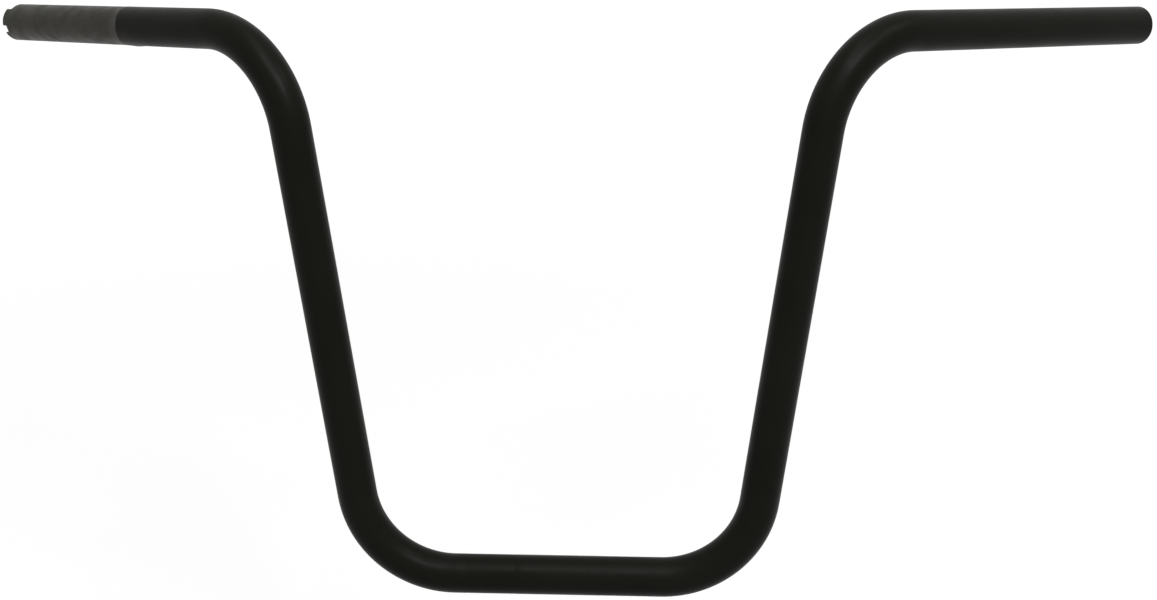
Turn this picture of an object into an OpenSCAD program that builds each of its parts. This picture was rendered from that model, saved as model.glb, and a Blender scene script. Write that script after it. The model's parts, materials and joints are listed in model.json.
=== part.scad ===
/* [Tube] */
// Outside diameter of the tube
tube_od = 25.4; // [22:0.1:32]
// Wall thickness of the tube
tube_wall = 2.4; // [1.6:0.1:4]
// Centreline radius of every bend
bend_r = 63.5; // [50:0.5:80]

/* [Outline] */
// Width between the middles of the two end faces
overall_w = 780; // [700:1:900]
// Width of the base between the corners that its bends round off
base_w = 246; // [220:1:320]
// Height of the upper corners above the base, centreline to centreline
rise = 355; // [250:1:450]
// Lean of each riser away from upright, in degrees
riser_splay = 7.5; // [0:0.5:15]
// How far the end faces sit behind the base
pullback = 153; // [60:1:220]
// How far the end faces drop below the upper corners
end_drop = 12; // [0:1:60]

/* [Cut ends] */
// Bevel on the outer and the inner edge of each end face
edge_bevel = 0.5; // [0.2:0.1:1]
// Width of the key slot in the throttle end
key_slot_w = 10; // [6:0.5:12]
// Depth of the key slot along the tube
key_slot_depth = 5.5; // [3:0.1:10]
// Place of the key slot round the tube, in degrees from the underside by way of the front
key_slot_turn = 170; // [160:1:180]
// Width of the two side slots in the throttle end
side_slot_w = 5.3; // [3:0.1:8]
// Depth of the side slots along the tube
side_slot_depth = 4.2; // [3:0.1:10]
// Turn from the key slot to the side slot on each side of it, in degrees
side_slot_turn = 94; // [85:1:100]
// Radius in the floor corners of the slots
slot_corner_r = 0.8; // [0.4:0.1:1.2]

/* [Wiring holes] */
// Width of the hole under the middle of the base
base_hole_w = 12; // [8:0.5:14]
// Length of the hole under the middle of the base
base_hole_len = 26; // [18:1:40]
// Width of the hole under each grip
grip_hole_w = 11; // [8:0.5:14]
// Length of the hole under each grip
grip_hole_len = 22; // [16:1:30]
// Distance from each end face to the middle of the grip's hole
grip_hole_from_end = 145; // [110:1:160]
// Turn of each grip's hole from the underside towards the rider, in degrees
grip_hole_turn = 35; // [0:1:60]

/* [Hidden] */
$fn = 96;
tube_r = tube_od / 2;
bore_r = tube_r - tube_wall;
// A bend is drawn this much thinner in radius than the straights, and each straight laps onto it
neck = 0.01;
lap = 0.02;
// How far a cutter runs past the face that it cuts
over = 1;

// Corner points of the centreline on the +X side
base_corner = [base_w / 2, 0, 0];
upper_corner = base_corner + [rise * tan(riser_splay), 0, rise];
end_point = [overall_w / 2, pullback, rise - end_drop];

// Directions of the riser and the grip, and the turn at each corner
riser_len = norm(upper_corner - base_corner);
grip_len = norm(end_point - upper_corner);
riser_dir = (upper_corner - base_corner) / riser_len;
grip_dir = (end_point - upper_corner) / grip_len;
base_turn = 90 - riser_splay;
grip_turn = acos(riser_dir * grip_dir);

// Straight runs that the bends leave
base_tangent = bend_r * tan(base_turn / 2);
grip_tangent = bend_r * tan(grip_turn / 2);
base_run = base_w / 2 - base_tangent;
riser_run = riser_len - base_tangent - grip_tangent;
grip_run = grip_len - grip_tangent;

// The base bends upwards. The upper bend's plane is turned round the riser, from outwards towards the back
upwards = 180;
outward_dir = [cos(riser_splay), 0, -sin(riser_splay)];
back_dir = [0, 1, 0];
grip_plane = atan2(grip_dir * back_dir, grip_dir * outward_dir);

// Moves its children to the far end of a straight run along +Z
module ahead(len) {
    translate([0, 0, len]) children();
}

// Moves its children round a bend that leaves +Z towards the given angle
module around(toward, angle) {
    rotate([0, 0, toward]) translate([bend_r, 0, 0]) rotate([0, angle, 0])
        translate([-bend_r, 0, 0]) rotate([0, 0, -toward]) children();
}

// A straight rod along +Z, with its children at its far end
module straight(len, r, past = lap) {
    translate([0, 0, -lap]) cylinder(h = lap + len + past, r = r);
    ahead(len) children();
}

// A bent rod that leaves +Z towards the given angle, with its children at its far end
module bend(toward, angle, r) {
    rotate([0, 0, toward]) translate([bend_r, 0, 0]) rotate([90, 0, 180])
        rotate_extrude(angle = angle) translate([bend_r, 0]) circle(r = r - neck);
    around(toward, angle) children();
}

// A solid rod of radius r from the middle of the base to the +X end face and on by past
module half_rod(r, past) {
    rotate([0, 90, 0])
        straight(base_run, r)
        bend(upwards, base_turn, r)
        straight(riser_run, r)
        bend(grip_plane, grip_turn, r)
        straight(grip_run, r, past);
}

// The frame at the +X end face, with +Z out of the tube and +X towards the underside of the grip
module at_end() {
    rotate([0, 90, 0])
        ahead(base_run)
        around(upwards, base_turn)
        ahead(riser_run)
        around(grip_plane, grip_turn)
        ahead(grip_run)
        rotate([0, 0, grip_plane]) children();
}

module both_sides() {
    children();
    mirror([1, 0, 0]) children();
}

// Cutter for the bevel on a round edge: side is 1 on the outside of the tube and -1 in its bore
module edge_cutter(r, side) {
    rotate_extrude() polygon([
        [r - side * 2 * edge_bevel, edge_bevel],
        [r + side * edge_bevel, -2 * edge_bevel],
        [r + side * edge_bevel, edge_bevel]
    ]);
}

// Cutter for an end slot through the wall on the +X side of the tube, with rounded floor corners
module slot_cutter(w, depth) {
    rotate([90, 0, 90]) linear_extrude(tube_r + over) {
        translate([-w / 2, slot_corner_r - depth]) square([w, depth - slot_corner_r + over]);
        translate([slot_corner_r - w / 2, -depth]) square([w - 2 * slot_corner_r, depth]);
        for (side = [-1, 1])
            translate([side * (w / 2 - slot_corner_r), slot_corner_r - depth]) circle(slot_corner_r);
    }
}

// The three slots that key the throttle's twist sensor to the bar
module throttle_slots() {
    rotate([0, 0, -key_slot_turn]) {
        slot_cutter(key_slot_w, key_slot_depth);
        for (side = [-1, 1])
            rotate([0, 0, side * side_slot_turn]) slot_cutter(side_slot_w, side_slot_depth);
    }
}

// Cutter for a round-ended hole through the wall on the +X side of the tube, long along the tube
module wiring_hole(w, len) {
    rotate([0, 90, 0]) linear_extrude(tube_r + over) {
        square([len - w, w], center = true);
        for (side = [-1, 1]) translate([side * (len - w) / 2, 0]) circle(d = w);
    }
}

module handlebar() {
    color("#1d1d1b") difference() {
        both_sides() half_rod(tube_r, 0);
        both_sides() half_rod(bore_r, over);
        both_sides() at_end() {
            edge_cutter(tube_r, 1);
            edge_cutter(bore_r, -1);
            ahead(-grip_hole_from_end) rotate([0, 0, grip_hole_turn])
                wiring_hole(grip_hole_w, grip_hole_len);
        }
        mirror([1, 0, 0]) at_end() throttle_slots();
        rotate([0, 90, 0]) wiring_hole(base_hole_w, base_hole_len);
    }
}

handlebar();
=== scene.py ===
"""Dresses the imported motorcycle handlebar: a fine tube mesh, its materials, the light and the camera."""
import json
import math

import bmesh
import bpy
import numpy as np
from mathutils import Matrix, Vector

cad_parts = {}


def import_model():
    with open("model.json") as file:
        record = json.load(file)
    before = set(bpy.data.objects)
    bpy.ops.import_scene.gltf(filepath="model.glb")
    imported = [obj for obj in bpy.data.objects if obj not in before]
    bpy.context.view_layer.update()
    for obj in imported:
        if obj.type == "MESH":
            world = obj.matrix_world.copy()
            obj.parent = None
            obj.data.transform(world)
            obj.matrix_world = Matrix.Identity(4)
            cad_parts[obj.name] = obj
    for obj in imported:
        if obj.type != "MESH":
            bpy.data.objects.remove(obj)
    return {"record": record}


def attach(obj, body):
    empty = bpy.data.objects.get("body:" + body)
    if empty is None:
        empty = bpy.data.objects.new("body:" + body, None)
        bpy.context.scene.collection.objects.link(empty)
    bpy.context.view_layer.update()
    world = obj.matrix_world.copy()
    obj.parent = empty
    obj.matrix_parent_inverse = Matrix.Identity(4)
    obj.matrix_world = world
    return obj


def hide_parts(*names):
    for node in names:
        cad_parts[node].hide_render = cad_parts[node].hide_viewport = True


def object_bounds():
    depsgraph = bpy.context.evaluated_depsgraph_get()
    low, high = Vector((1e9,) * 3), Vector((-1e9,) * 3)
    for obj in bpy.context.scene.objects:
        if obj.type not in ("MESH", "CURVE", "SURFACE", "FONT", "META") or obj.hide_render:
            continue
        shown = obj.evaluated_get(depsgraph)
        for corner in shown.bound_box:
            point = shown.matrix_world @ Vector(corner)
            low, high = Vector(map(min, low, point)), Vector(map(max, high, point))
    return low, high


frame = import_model()
cad_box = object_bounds()

# Sizes of the bar, in millimetres and degrees
MM = 0.001
MOUNTS = {mount["name"]: mount for mount in frame["record"]["mounts"]}
TUBE_R = MOUNTS["centre_clamp"]["dims"]["r_mm"]
BORE_R = MOUNTS["throttle_end_bore"]["dims"]["r_mm"]
BEND_R = 63.5
OVERALL_W = 780.0
BASE_W = 246.0
RISE = 355.0
RISER_SPLAY = 7.5
PULLBACK = 153.0
END_DROP = 12.0

# Cut ends
EDGE_BEVEL = 0.5
KEY_SLOT_W = 10.0
KEY_SLOT_DEPTH = 5.5
KEY_SLOT_TURN = 170.0
SIDE_SLOT_W = 5.3
SIDE_SLOT_DEPTH = 4.2
SIDE_SLOT_TURN = 94.0
SLOT_CORNER_R = 0.8

# Wiring holes
BASE_HOLE_W = 12.0
BASE_HOLE_LEN = 26.0
GRIP_HOLE_W = 11.0
GRIP_HOLE_LEN = 22.0
GRIP_HOLE_FROM_END = 145.0
GRIP_HOLE_TURN = 35.0

# Details that only the visual model has
CUT_ROUNDING = 0.3
COAT_THICKNESS = 0.08
COAT_EDGE_AT = 128.4
COAT_EDGE_WAVE = 1.6
COAT_EDGE_CREST = math.radians(-100)
COAT_EDGE_LIP = 0.25
COAT_BEAD = 0.45
COAT_BEAD_AT = 137.0
COAT_BEAD_REACH = 9.0
COAT_BEAD_ANGLE = math.radians(-8)
COAT_BEAD_SPREAD = math.radians(24)
STAIN_AT = 134.0
STAIN_ANGLE = math.radians(-50)
STAIN_CORE, STAIN_REACH = 3.0, 10.0
STAIN_RAGGED = 3.0
KNURL_FROM = 26.0
KNURL_TO = 61.0
KNURL_STEP = 1.25
KNURL_DEPTH = 0.17

# Mesh density
COLUMNS = 96
STRAIGHT_STEP = 8.0
BEND_STEP = 3.2
HOLE_MARGIN = 3.5
HOLE_ROWS = 13
SLOT_SIDE_ROWS = (1.5, 2.5)
SLOT_FOOT_ROWS = (6.0, 7.5)
PATCH_MARGIN = math.radians(5)
BRIDGE_STEPS = (0.35, 0.7)
QUARTER_INSET = 1 - math.sqrt(0.5)
SHARP_ANGLE = math.radians(32)
TOUCH = 1e-6

BARE_STEEL, BLACK_COAT, BORE_STEEL = range(3)
OUTSIDE, INSIDE = range(2)


def unit(vector):
    return vector / np.linalg.norm(vector)


def turned(vector, axis, angle):
    """The vector turned about a unit axis."""
    along = axis * (axis @ vector)
    across = vector - along
    return along + across * math.cos(angle) + np.cross(axis, across) * math.sin(angle)


class Spine:
    """The tube's centreline: straight runs joined by bends of one radius, with a frame carried along it."""

    def __init__(self, corners, bend_r, first_x):
        self.bend_r = bend_r
        self.pieces = []
        self.known = {}
        z = unit(corners[1] - corners[0])
        axes = np.array([first_x, np.cross(z, first_x), z])
        along, point = 0.0, corners[0]
        for corner, following in zip(corners[1:-1], corners[2:]):
            way_out = unit(following - corner)
            turn = math.acos(axes[2] @ way_out)
            tangent = bend_r * math.tan(turn / 2)
            run = np.linalg.norm(corner - point) - tangent
            self.pieces.append((along, point, axes, None))
            along, point = along + run, point + run * axes[2]
            hinge = unit(np.cross(axes[2], way_out))
            self.pieces.append((along, point + bend_r * np.cross(hinge, axes[2]), axes, hinge))
            axes = np.array([turned(v, hinge, turn) for v in axes])
            along, point = along + bend_r * turn, corner + tangent * way_out
        self.pieces.append((along, point, axes, None))
        self.length = along + np.linalg.norm(corners[-1] - point)

    def piece_at(self, s):
        """The straight run or bend that holds s, as (start, point or centre, axes, hinge or None)."""
        return [p for p in self.pieces if p[0] <= max(s, 0.0)][-1]

    def at(self, s):
        """The centre and the three axes of the tube at a distance s from its throttle end."""
        if s not in self.known:
            start, point, axes, hinge = self.piece_at(s)
            if hinge is None:
                self.known[s] = point + (s - start) * axes[2], axes
            else:
                angle = (s - start) / self.bend_r
                arm = turned(-self.bend_r * np.cross(hinge, axes[2]), hinge, angle)
                self.known[s] = point + arm, np.array([turned(v, hinge, angle) for v in axes])
        return self.known[s]

    def angle_of(self, s, direction):
        """The angle round the tube at s that faces a direction."""
        _, axes = self.at(s)
        return math.atan2(axes[1] @ direction, axes[0] @ direction)


def bar_spine():
    """The centreline from the throttle end to the left end. Its first axis faces the grip's underside."""
    lean = RISE * math.tan(math.radians(RISER_SPLAY))
    half = [
        np.array([BASE_W / 2, 0.0, 0.0]),
        np.array([BASE_W / 2 + lean, 0.0, RISE]),
        np.array([OVERALL_W / 2, PULLBACK, RISE - END_DROP]),
    ]
    mirror = np.array([-1.0, 1.0, 1.0])
    corners = [c * mirror for c in reversed(half)] + half
    inward, down = unit(corners[1] - corners[0]), unit(corners[2] - corners[1])
    return Spine(corners, BEND_R, unit(down - inward * (inward @ down)))


class Slot:
    """A slot from the throttle end, with rounded floor corners. Its outline runs down, along and up."""

    closed = False
    wall_material = BARE_STEEL

    def __init__(self, width, depth, turn):
        self.half = width / 2
        self.depth = depth
        self.angle = -math.radians(turn)

    def reach(self, rows):
        """The first and last row of the patch round the slot."""
        walls = [i for i, s in enumerate(rows) if s <= self.depth - SLOT_CORNER_R + TOUCH]
        return 0, walls[-1] + 2

    def outline(self, border, rows, grow):
        """The outline, grown by some width, as (distance, offset) for each point of the patch's border."""
        side, r = self.half + grow, SLOT_CORNER_R + grow
        down = [(s, -side) for s in rows if s <= self.depth - SLOT_CORNER_R + TOUCH]
        for a in (math.pi / 4, math.pi / 2):
            down.append((self.depth - SLOT_CORNER_R + r * math.sin(a), r * (1 - math.cos(a)) - side))
        count = len(border) - 2 * len(down)
        flat = self.half - SLOT_CORNER_R
        floor = [(self.depth + grow, flat * (2 * (k + 1) / (count + 1) - 1)) for k in range(count)]
        return down + floor + [(s, -t) for s, t in reversed(down)]


class Hole:
    """A round-ended hole through the wall, long along the tube."""

    closed = True
    wall_material = BLACK_COAT

    def __init__(self, width, length, at, angle):
        self.half = width / 2
        self.flat = (length - width) / 2
        self.at = at
        self.angle = angle
        self.margin = length / 2 + HOLE_MARGIN

    def reach(self, rows):
        """The first and last row of the patch round the hole."""
        inside = [i for i, s in enumerate(rows) if abs(s - self.at) <= self.margin + TOUCH]
        return inside[0], inside[-1]

    def outline(self, border, rows, grow):
        """The outline, grown by some width, where rays from the middle to the patch's border cross it."""
        return [self.crossing(s - self.at, angle * TUBE_R, self.half + grow) for s, angle in border]

    def crossing(self, u, t, r):
        reach = math.hypot(u, t)
        u, t = u / reach, t / reach
        if abs(u) * r <= self.flat * abs(t):
            return self.at + u * r / abs(t), math.copysign(r, t)
        run = self.flat * abs(u) + math.sqrt(r * r - (self.flat * t) ** 2)
        return self.at + u * run, t * run


class Tube:
    """The mesh of the bar: an outer and an inner grid, joined at the end faces, slots and holes."""

    def __init__(self, spine):
        self.spine = spine
        self.points, self.faces, self.materials, self.flat = [], [], [], []
        middle, far = spine.length / 2, spine.length - GRIP_HOLE_FROM_END
        below = spine.angle_of(middle, np.array([0.0, 0.0, -1.0]))
        last_hinge = spine.pieces[-2][3]
        far_below = spine.angle_of(far, np.cross(last_hinge, spine.at(far)[1][2]))
        rearwards = math.radians(GRIP_HOLE_TURN)
        self.slots = [
            Slot(KEY_SLOT_W, KEY_SLOT_DEPTH, KEY_SLOT_TURN),
            Slot(SIDE_SLOT_W, SIDE_SLOT_DEPTH, KEY_SLOT_TURN - SIDE_SLOT_TURN),
            Slot(SIDE_SLOT_W, SIDE_SLOT_DEPTH, KEY_SLOT_TURN + SIDE_SLOT_TURN),
        ]
        self.holes = [
            Hole(GRIP_HOLE_W, GRIP_HOLE_LEN, GRIP_HOLE_FROM_END, rearwards),
            Hole(BASE_HOLE_W, BASE_HOLE_LEN, middle, below),
            Hole(GRIP_HOLE_W, GRIP_HOLE_LEN, far, far_below + rearwards),
        ]
        self.knurls = [(middle - KNURL_TO, middle - KNURL_FROM), (middle + KNURL_FROM, middle + KNURL_TO)]
        self.rows = self.row_places()
        self.patched = {}
        patches = [self.patch(cut) for cut in self.slots + self.holes]
        self.grid = [[self.ring(wall, i) for i in range(len(self.rows))] for wall in (OUTSIDE, INSIDE)]
        self.fill_grid()
        self.fill_ends()
        for cut, rows, border in patches:
            self.fill_patch(cut, rows, border)

    def row_places(self):
        """Where along the tube each ring of the grid lies."""
        walls = [SIDE_SLOT_DEPTH - SLOT_CORNER_R, KEY_SLOT_DEPTH - SLOT_CORNER_R]
        marks = [0.0, EDGE_BEVEL, *SLOT_SIDE_ROWS, *walls, *SLOT_FOOT_ROWS]
        marks += [self.spine.length, self.spine.length - EDGE_BEVEL]
        marks += [COAT_EDGE_AT, COAT_EDGE_AT + COAT_EDGE_LIP]
        marks += [p[0] for p in self.spine.pieces[1:]]
        for hole in self.holes:
            marks += list(np.linspace(hole.at - hole.margin, hole.at + hole.margin, HOLE_ROWS))
        for start, stop in self.knurls:
            marks += list(np.linspace(start, stop, round((stop - start) / KNURL_STEP) + 1))
        marks.sort()
        rows = []
        for here, there in zip(marks, marks[1:]):
            bent = self.spine.piece_at((here + there) / 2)[3] is not None
            count = math.ceil((there - here) / (BEND_STEP if bent else STRAIGHT_STEP) - TOUCH)
            rows += [here + (there - here) * k / count for k in range(count)]
        return rows + [marks[-1]]

    def radius(self, wall, s):
        """The radius of a wall at s: bevelled at the ends, and less the coat where the steel is bare."""
        bevel = max(0.0, EDGE_BEVEL - min(s, self.spine.length - s))
        if wall == INSIDE:
            return BORE_R + bevel
        return TUBE_R - bevel - (COAT_THICKNESS if s <= COAT_EDGE_AT + TOUCH else 0.0)

    def bead(self, s, angle):
        """How far the coat swells at a point near its edge, where it ran together under the grip."""
        along = (s - COAT_BEAD_AT) / COAT_BEAD_REACH
        across = math.remainder(angle - COAT_BEAD_ANGLE, 2 * math.pi) / COAT_BEAD_SPREAD
        share = along * along + across * across
        return COAT_BEAD * (1 - share) ** 2 if share < 1 else 0.0

    def place(self, s, angle, r):
        """The point in space at a distance s along the tube, an angle round it and a radius."""
        centre, axes = self.spine.at(s)
        return (centre + r * (math.cos(angle) * axes[0] + math.sin(angle) * axes[1])) * MM

    def add_point(self, s, angle, r):
        """Adds a point of the mesh. The rings at the coat's edge wave along the tube."""
        if COAT_EDGE_AT - TOUCH <= s <= COAT_EDGE_AT + COAT_EDGE_LIP + TOUCH:
            s += COAT_EDGE_WAVE * math.cos(2 * (angle - COAT_EDGE_CREST))
        self.points.append(self.place(s, angle, r))
        return len(self.points) - 1

    def add_face(self, corners, material, flat=False):
        self.faces.append(corners)
        self.materials.append(material)
        self.flat.append(flat)

    def column_angle(self, j):
        return 2 * math.pi * j / COLUMNS

    def in_knurl(self, s):
        return any(start - TOUCH <= s <= stop + TOUCH for start, stop in self.knurls)

    def groove(self, i, j):
        """How deep the knurl is at a point of the outer grid: its grooves cross at every other point."""
        inside = all(0 <= i + k < len(self.rows) and self.in_knurl(self.rows[i + k]) for k in (-1, 0, 1))
        return KNURL_DEPTH if inside and (i + j) % 2 == 0 else 0.0

    def patch(self, cut):
        """Marks the cells of the grid that a cut's patch replaces. Returns (cut, rows, border)."""
        first_row, last_row = cut.reach(self.rows)
        half = math.asin((cut.half + CUT_ROUNDING) / BORE_R) + PATCH_MARGIN
        step = self.column_angle(1)
        first, last = math.floor((cut.angle - half) / step), math.ceil((cut.angle + half) / step)
        for i in range(first_row, last_row):
            for j in range(first, last):
                self.patched[i, j % COLUMNS] = True
        down = [(i, first) for i in range(first_row, last_row + 1)]
        along = [(last_row, j) for j in range(first + 1, last)]
        up = [(i, last) for i in range(last_row, first_row - 1, -1)]
        back = [(first_row, j) for j in range(last - 1, first, -1)] if cut.closed else []
        return cut, self.rows[first_row:last_row + 1], down + along + up + back

    def is_buried(self, i, j):
        """Whether all the cells round a grid point belong to patches."""
        cells = [(i + di, (j + dj) % COLUMNS) for di in (-1, 0) for dj in (-1, 0)]
        inside = [cell for cell in cells if 0 <= cell[0] < len(self.rows) - 1]
        return all(cell in self.patched for cell in inside)

    def ring(self, wall, i):
        """The points of one ring of the grid, with None where a patch has its own."""
        s, points = self.rows[i], []
        for j in range(COLUMNS):
            if self.is_buried(i, j):
                points.append(None)
                continue
            depth = self.groove(i, j) if wall == OUTSIDE else 0.0
            swell = self.bead(s, self.column_angle(j)) if wall == OUTSIDE else 0.0
            points.append(self.add_point(s, self.column_angle(j), self.radius(wall, s) + swell - depth))
        return points

    def wall_material(self, wall, s):
        at_end = min(s, self.spine.length - s) < EDGE_BEVEL
        if wall == INSIDE and not at_end:
            return BORE_STEEL
        return BARE_STEEL if s < COAT_EDGE_AT else BLACK_COAT

    def fill_grid(self):
        """The faces of both grids, each knurled cell split along its groove."""
        for i in range(len(self.rows) - 1):
            middle = (self.rows[i] + self.rows[i + 1]) / 2
            for j in range(COLUMNS):
                if (i, j) in self.patched:
                    continue
                for wall in (OUTSIDE, INSIDE):
                    here, there = self.grid[wall][i], self.grid[wall][i + 1]
                    a, b = here[j], here[(j + 1) % COLUMNS]
                    c, d = there[(j + 1) % COLUMNS], there[j]
                    material = self.wall_material(wall, middle)
                    if wall == INSIDE or not self.in_knurl(middle):
                        self.add_face((a, b, c, d), material)
                        continue
                    halves = ((a, b, c), (a, c, d)) if (i + j) % 2 == 0 else ((a, b, d), (b, c, d))
                    for half in halves:
                        self.add_face(half, material, flat=True)

    def fill_ends(self):
        """The two end faces, apart from what the slots' patches fill."""
        for i, cell_row, material in ((0, 0, BARE_STEEL), (-1, len(self.rows) - 2, BLACK_COAT)):
            outer, inner = self.grid[OUTSIDE][i], self.grid[INSIDE][i]
            for j in range(COLUMNS):
                k = (j + 1) % COLUMNS
                if (cell_row, j) not in self.patched:
                    self.add_face((outer[j], outer[k], inner[k], inner[j]), material)

    def cut_ring(self, wall, cut, places, inset):
        """A ring of a patch from (distance, offset) places, the offset square to the cut's own middle."""
        ring = []
        for s, t in places:
            r = self.radius(wall, s) + (inset if wall == INSIDE else -inset)
            ring.append(self.add_point(s, cut.angle + math.asin(t / r), r))
        return ring

    def fill_patch(self, cut, rows, border):
        """The faces between a patch's border and its cut on both walls, and the cut's own wall."""
        local = [(self.rows[i], self.column_angle(j) - cut.angle) for i, j in border]
        rings = {}
        for wall in (OUTSIDE, INSIDE):
            chain = [[self.grid[wall][i][j % COLUMNS] for i, j in border]]
            rim = cut.outline(local, rows, CUT_ROUNDING)
            for part in BRIDGE_STEPS:
                ring = []
                for (s, angle), (rim_s, t) in zip(local, rim):
                    between_s = s + part * (rim_s - s)
                    rim_angle = math.asin(t / self.radius(wall, rim_s))
                    turn = cut.angle + angle + part * (rim_angle - angle)
                    ring.append(self.add_point(between_s, turn, self.radius(wall, between_s)))
                chain.append(ring)
            chain.append(self.cut_ring(wall, cut, rim, 0.0))
            eased = cut.outline(local, rows, CUT_ROUNDING * QUARTER_INSET)
            chain.append(self.cut_ring(wall, cut, eased, CUT_ROUNDING * QUARTER_INSET))
            chain.append(self.cut_ring(wall, cut, cut.outline(local, rows, 0.0), CUT_ROUNDING))
            rings[wall] = chain
        count = len(border)
        steps = [(k, (k + 1) % count) for k in range(count if cut.closed else count - 1)]
        for wall, chain in rings.items():
            for here, there in zip(chain, chain[1:]):
                for a, b in steps:
                    middle = (rows[0] + rows[-1]) / 2
                    self.add_face((here[a], here[b], there[b], there[a]), self.wall_material(wall, middle))
        outer, inner = rings[OUTSIDE][-1], rings[INSIDE][-1]
        for a, b in steps:
            self.add_face((outer[a], outer[b], inner[b], inner[a]), cut.wall_material)
        if not cut.closed:
            for k in (0, -1):
                for q in range(len(rings[OUTSIDE]) - 1):
                    outer_pair = rings[OUTSIDE][q][k], rings[OUTSIDE][q + 1][k]
                    inner_pair = rings[INSIDE][q + 1][k], rings[INSIDE][q][k]
                    self.add_face(outer_pair + inner_pair, BARE_STEEL)

    def to_object(self, name, materials):
        """The Blender object, with outward normals and sharp edges kept sharp."""
        mesh = bpy.data.meshes.new(name)
        mesh.from_pydata([tuple(p) for p in self.points], [], self.faces)
        for material in materials:
            mesh.materials.append(material)
        mesh.polygons.foreach_set("material_index", self.materials)
        mesh.polygons.foreach_set("use_smooth", [not flat for flat in self.flat])
        work = bmesh.new()
        work.from_mesh(mesh)
        bmesh.ops.recalc_face_normals(work, faces=work.faces)
        work.to_mesh(mesh)
        work.free()
        mesh.set_sharp_from_angle(angle=SHARP_ANGLE)
        made = bpy.data.objects.new(name, mesh)
        bpy.context.scene.collection.objects.link(made)
        return made


# Materials: waves are to the metre, bump depths in metres, and ranges are of the noise that they pick from
COAT_COLOURS = ("#0e0e0a", "#11110d")
COAT_STAIN_COLOUR = "#221b14"
COAT_SPECULAR = 0.05
COAT_ROUGHNESS = (0.35, 0.42)
COAT_CLOUD_WAVES, COAT_CLOUD_RANGE = 18.0, (0.35, 0.65)
COAT_SHEEN_WAVES = 45.0
STAIN_EDGE_WAVES = 260.0
PEEL_WAVES, PEEL_DEPTH, PEEL_STRENGTH = 700.0, 0.00006, 0.25
GRAIN_WAVES, GRAIN_DEPTH, GRAIN_STRENGTH = 3200.0, 0.00002, 0.35
STEEL_COLOURS = ("#292822", "#2f2e27")
STEEL_STAIN_COLOUR = "#352e27"
STEEL_MARK_COLOUR = "#201f1d"
STEEL_METALLIC = 0.85
STEEL_ROUGHNESS = (0.42, 0.58)
STEEL_PATCH_WAVES, STEEL_PATCH_RANGE = 55.0, (0.40, 0.62)
STEEL_STAIN_WAVES, STEEL_STAIN_RANGE, STEEL_STAIN_SHARE = 95.0, (0.45, 0.70), 0.7
STEEL_SHEEN_WAVES = 120.0
MARK_WAVES_ALONG, MARK_WAVES_ACROSS = 2600.0, 60.0
MARK_SHARE, MARK_DEPTH, MARK_STRENGTH = 0.3, 0.00004, 0.3
BORE_COLOUR, BORE_RUST_COLOUR = "#34322f", "#4a3527"
BORE_METALLIC, BORE_ROUGHNESS = 0.3, 0.7
RUST_WAVES, RUST_RANGE = 160.0, (0.48, 0.68)
RUST_DEPTH, RUST_STRENGTH = 0.00005, 0.3
WIDE_RANGE = (0.3, 0.7)
SHARE = (0.0, 1.0)


def srgb(code):
    """A linear colour from a hexadecimal sRGB one."""
    parts = [int(code[k:k + 2], 16) / 255 for k in (1, 3, 5)]
    linear = [p / 12.92 if p <= 0.04045 else ((p + 0.055) / 1.055) ** 2.4 for p in parts]
    return (*linear, 1.0)


def add_node(tree, kind, inputs=None, **settings):
    """Adds a node, with its inputs set or linked by name or number."""
    made = tree.nodes.new(kind)
    for name, value in settings.items():
        setattr(made, name, value)
    for socket, value in (inputs or {}).items():
        if isinstance(value, bpy.types.NodeSocket):
            tree.links.new(value, made.inputs[socket])
        else:
            made.inputs[socket].default_value = value
    return made


def noise(tree, place, waves, detail=2.0, roughness=0.5):
    """A noise value about 0.5 at a number of waves to the metre."""
    inputs = {"Vector": place, "Scale": waves, "Detail": detail, "Roughness": roughness}
    return add_node(tree, "ShaderNodeTexNoise", inputs).outputs["Fac"]


def spread(tree, value, between, to=SHARE):
    """Maps a value from one range to another and holds it there."""
    ends = {"From Min": between[0], "From Max": between[1], "To Min": to[0], "To Max": to[1]}
    inputs = {"Value": value, **ends}
    return add_node(tree, "ShaderNodeMapRange", inputs, clamp=True).outputs["Result"]


def calculate(tree, operation, first, second):
    return add_node(tree, "ShaderNodeMath", {0: first, 1: second}, operation=operation).outputs[0]


def vector_node(tree, operation, inputs):
    return add_node(tree, "ShaderNodeVectorMath", inputs, operation=operation).outputs


def object_place(tree):
    return add_node(tree, "ShaderNodeTexCoord").outputs["Object"]


def blend_colours(tree, share, first, second):
    """Mixes two colours. A Mix node has its sockets for colours behind those for its other types."""
    made = add_node(tree, "ShaderNodeMix", data_type="RGBA")
    for socket, value in ((made.inputs[0], share), (made.inputs[6], first), (made.inputs[7], second)):
        if isinstance(value, bpy.types.NodeSocket):
            tree.links.new(value, socket)
        else:
            socket.default_value = value
    return made.outputs[2]


def bump(tree, height, depth, strength, under=None):
    """A bumped normal, on top of another one where that is given."""
    inputs = {"Height": height, "Strength": strength, "Distance": depth}
    if under is not None:
        inputs["Normal"] = under
    return add_node(tree, "ShaderNodeBump", inputs).outputs[0]


def start_material(name):
    """A new material, with its tree and its shader."""
    material = bpy.data.materials.new(name)
    material.use_nodes = True
    tree = material.node_tree
    return material, tree, tree.nodes["Principled BSDF"]


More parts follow.
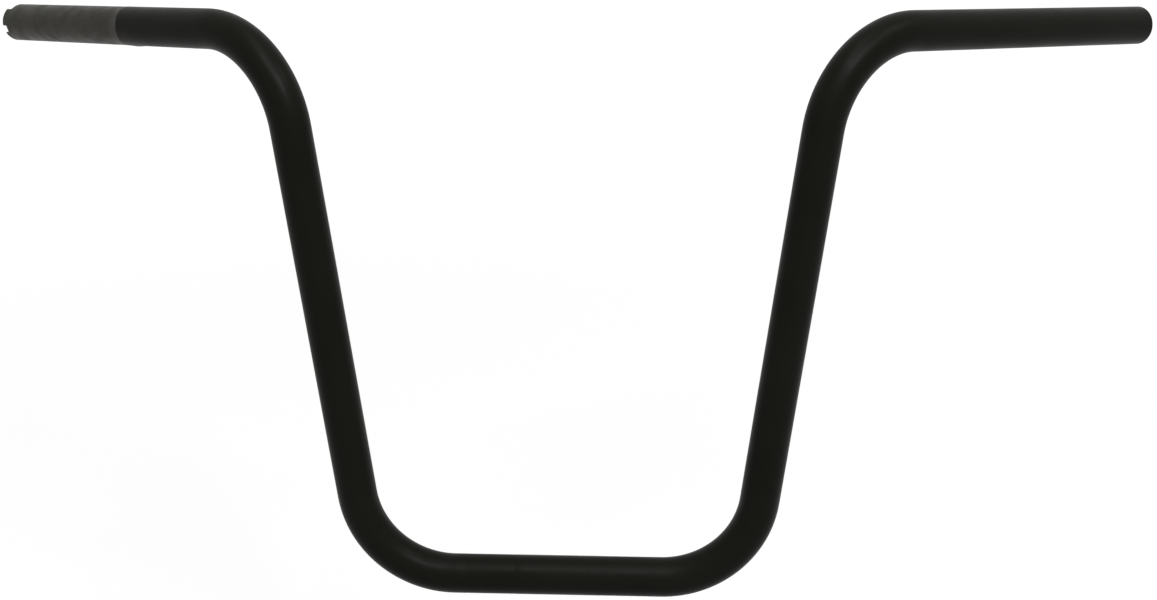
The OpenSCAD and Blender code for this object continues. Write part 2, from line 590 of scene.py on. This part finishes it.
def black_coat(stained):
    """Satin black powder coat: faint orange peel, fine grain, and a brown stain about a point."""
    material, tree, shader = start_material("black_coat")
    place = object_place(tree)
    cloud = spread(tree, noise(tree, place, COAT_CLOUD_WAVES, detail=3.0), COAT_CLOUD_RANGE)
    colour = blend_colours(tree, cloud, *(srgb(code) for code in COAT_COLOURS))
    away = vector_node(tree, "DISTANCE", {0: place, 1: stained})["Value"]
    ragged_by = (-STAIN_RAGGED * MM, STAIN_RAGGED * MM)
    ragged = spread(tree, noise(tree, place, STAIN_EDGE_WAVES, detail=3.0), WIDE_RANGE, ragged_by)
    edge = calculate(tree, "ADD", away, ragged)
    soiled = spread(tree, edge, (STAIN_CORE * MM, STAIN_REACH * MM), (1.0, 0.0))
    colour = blend_colours(tree, soiled, colour, srgb(COAT_STAIN_COLOUR))
    tree.links.new(colour, shader.inputs["Base Color"])
    shader.inputs["Specular IOR Level"].default_value = COAT_SPECULAR
    sheen = spread(tree, noise(tree, place, COAT_SHEEN_WAVES, detail=4.0), WIDE_RANGE, COAT_ROUGHNESS)
    tree.links.new(sheen, shader.inputs["Roughness"])
    peel = bump(tree, noise(tree, place, PEEL_WAVES, detail=1.5), PEEL_DEPTH, PEEL_STRENGTH)
    grain = bump(tree, noise(tree, place, GRAIN_WAVES), GRAIN_DEPTH, GRAIN_STRENGTH, under=peel)
    tree.links.new(grain, shader.inputs["Normal"])
    return material


def along_and_across(tree, place, axis, along, across):
    """The place with its part along an axis and the rest scaled apart, to draw streaks."""
    distance = vector_node(tree, "DOT_PRODUCT", {0: place, 1: axis})["Value"]
    lengthwise = vector_node(tree, "SCALE", {0: axis, "Scale": distance})["Vector"]
    rest = vector_node(tree, "SUBTRACT", {0: place, 1: lengthwise})["Vector"]
    first = vector_node(tree, "SCALE", {0: lengthwise, "Scale": along})["Vector"]
    second = vector_node(tree, "SCALE", {0: rest, "Scale": across})["Vector"]
    return vector_node(tree, "ADD", {0: first, 1: second})["Vector"]


def bare_steel():
    """Bare ground steel: mottled grey, olive and brown, with fine marks round the tube."""
    material, tree, shader = start_material("bare_steel")
    place = object_place(tree)
    patches = spread(tree, noise(tree, place, STEEL_PATCH_WAVES), STEEL_PATCH_RANGE)
    grey = blend_colours(tree, patches, *(srgb(code) for code in STEEL_COLOURS))
    stain = noise(tree, place, STEEL_STAIN_WAVES, detail=3.0, roughness=0.6)
    stained = spread(tree, stain, STEEL_STAIN_RANGE, (0.0, STEEL_STAIN_SHARE))
    colour = blend_colours(tree, stained, grey, srgb(STEEL_STAIN_COLOUR))
    axis = tuple(MOUNTS["throttle_seat"]["axis"])
    round_tube = along_and_across(tree, place, axis, MARK_WAVES_ALONG, MARK_WAVES_ACROSS)
    marks = noise(tree, round_tube, 1.0, detail=3.0, roughness=0.7)
    marked = spread(tree, marks, WIDE_RANGE, (0.0, MARK_SHARE))
    colour = blend_colours(tree, marked, colour, srgb(STEEL_MARK_COLOUR))
    tree.links.new(colour, shader.inputs["Base Color"])
    shader.inputs["Metallic"].default_value = STEEL_METALLIC
    rough = spread(tree, noise(tree, place, STEEL_SHEEN_WAVES, detail=3.0), WIDE_RANGE, STEEL_ROUGHNESS)
    tree.links.new(rough, shader.inputs["Roughness"])
    tree.links.new(bump(tree, marks, MARK_DEPTH, MARK_STRENGTH), shader.inputs["Normal"])
    return material


def bore_steel():
    """The unpainted inside of the tube: dark mill scale with a little rust."""
    material, tree, shader = start_material("bore_steel")
    rust = spread(tree, noise(tree, object_place(tree), RUST_WAVES, detail=5.0, roughness=0.65), RUST_RANGE)
    colour = blend_colours(tree, rust, srgb(BORE_COLOUR), srgb(BORE_RUST_COLOUR))
    tree.links.new(colour, shader.inputs["Base Color"])
    shader.inputs["Metallic"].default_value = BORE_METALLIC
    shader.inputs["Roughness"].default_value = BORE_ROUGHNESS
    tree.links.new(bump(tree, rust, RUST_DEPTH, RUST_STRENGTH), shader.inputs["Normal"])
    return material


# Stage, light and camera, in metres and watts
WHITE = (1.0, 1.0, 1.0, 1.0)
FLOOR_DROP = 0.20
FLOOR_HALF = 6.0
FLOOR_GREY = 0.5
FLOOR_ROUGHNESS = 0.9
FLOOR_GLOW_FROM = (0.3, 3.0)
FLOOR_GLOW = (0.52, 0.75)
ROOM_LIGHT = 0.45
LIGHT_TARGET = (0.0, 0.0, 0.2)
SOFTBOXES = {
    "key": {"place": (0.75, -1.45, 1.64), "size": (0.7, 0.45), "watts": 21.0},
    "front": {"place": (0.0, -1.20, 2.02), "size": (0.4, 0.75), "watts": 14.0},
    "side": {"place": (1.33, -0.45, 1.89), "size": (0.4, 0.5), "watts": 6.0},
    "top": {"place": (0.0, -0.35, 2.37), "size": (0.8, 0.8), "watts": 6.0},
}
IMAGE_W, IMAGE_H = 1157, 600
FOCAL_PX = 1527.68
PRINCIPAL_PX = (584.78, 243.94)
CAMERA_PLACE = (0.061433, -0.913331, 0.461192)
CAMERA_YAW, CAMERA_PITCH, CAMERA_ROLL = 2.713, -14.524, 0.142
SENSOR_W = 36.0


def seen_directly(tree):
    """1 for the rays that show a surface itself: the camera's, and those reflected or let through."""
    rays = add_node(tree, "ShaderNodeLightPath").outputs
    either = calculate(tree, "ADD", rays["Is Camera Ray"], rays["Is Glossy Ray"])
    return spread(tree, calculate(tree, "ADD", either, rays["Is Transmission Ray"]), SHARE)


def floor():
    """A plain floor below the bar. It glows by what it lacks to show as white, and keeps a soft shadow."""
    half, z = FLOOR_HALF, cad_box[0].z - FLOOR_DROP
    mesh = bpy.data.meshes.new("floor")
    corners = [(-half, -half, z), (half, -half, z), (half, half, z), (-half, half, z)]
    mesh.from_pydata(corners, [], [(0, 1, 2, 3)])
    material, tree, shader = start_material("floor_white")
    shader.inputs["Base Color"].default_value = (FLOOR_GREY, FLOOR_GREY, FLOOR_GREY, 1.0)
    shader.inputs["Roughness"].default_value = FLOOR_ROUGHNESS
    place = object_place(tree)
    away = vector_node(tree, "LENGTH", {0: place})["Value"]
    lacking = spread(tree, away, FLOOR_GLOW_FROM, FLOOR_GLOW)
    strength = calculate(tree, "MULTIPLY", seen_directly(tree), lacking)
    glow = add_node(tree, "ShaderNodeEmission", {"Color": WHITE, "Strength": strength})
    both = add_node(tree, "ShaderNodeAddShader", {0: shader.outputs[0], 1: glow.outputs[0]})
    tree.links.new(both.outputs[0], tree.nodes["Material Output"].inputs["Surface"])
    mesh.materials.append(material)
    made = bpy.data.objects.new("floor", mesh)
    bpy.context.scene.collection.objects.link(made)


def world():
    """A surround that shows as white, directly and in reflections, and lights the bar more softly."""
    made = bpy.data.worlds.new("studio")
    bpy.context.scene.world = made
    made.use_nodes = True
    tree = made.node_tree
    background = tree.nodes["Background"]
    background.inputs["Color"].default_value = WHITE
    strength = spread(tree, seen_directly(tree), SHARE, (ROOM_LIGHT, 1.0))
    tree.links.new(strength, background.inputs["Strength"])


def softbox(name, place, size, watts):
    """A rectangular area light that faces the bar."""
    data = bpy.data.lights.new(name, "AREA")
    data.shape = "RECTANGLE"
    data.size, data.size_y = size
    data.energy = watts
    made = bpy.data.objects.new(name, data)
    made.location = place
    made.rotation_mode = "QUATERNION"
    made.rotation_quaternion = (Vector(LIGHT_TARGET) - Vector(place)).to_track_quat("-Z", "Y")
    bpy.context.scene.collection.objects.link(made)


def camera():
    """The camera that the photograph was taken with, as far as its outline tells."""
    data = bpy.data.cameras.new("camera")
    data.sensor_width = SENSOR_W
    data.lens = FOCAL_PX / IMAGE_W * SENSOR_W
    data.shift_x = (IMAGE_W / 2 - PRINCIPAL_PX[0]) / IMAGE_W
    data.shift_y = (PRINCIPAL_PX[1] - IMAGE_H / 2) / IMAGE_W
    yaw, pitch, roll = (math.radians(a) for a in (CAMERA_YAW, CAMERA_PITCH, CAMERA_ROLL))
    level = Matrix.Rotation(yaw, 3, "Z") @ Matrix.Rotation(pitch, 3, "X") @ Matrix.Rotation(roll, 3, "Y")
    made = bpy.data.objects.new("camera", data)
    made.matrix_world = (level @ Matrix.Rotation(math.pi / 2, 3, "X")).to_4x4()
    made.location = CAMERA_PLACE
    bpy.context.scene.collection.objects.link(made)
    bpy.context.scene.camera = made


bpy.context.scene.view_settings.view_transform = "Standard"
camera()
floor()
world()
for name, settings in SOFTBOXES.items():
    softbox(name, **settings)

tube = Tube(bar_spine())
stained = tube.place(STAIN_AT, STAIN_ANGLE, TUBE_R)
bar = tube.to_object("handlebar_tube", [bare_steel(), black_coat(tuple(stained)), bore_steel()])
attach(bar, "root")
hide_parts("handlebar")
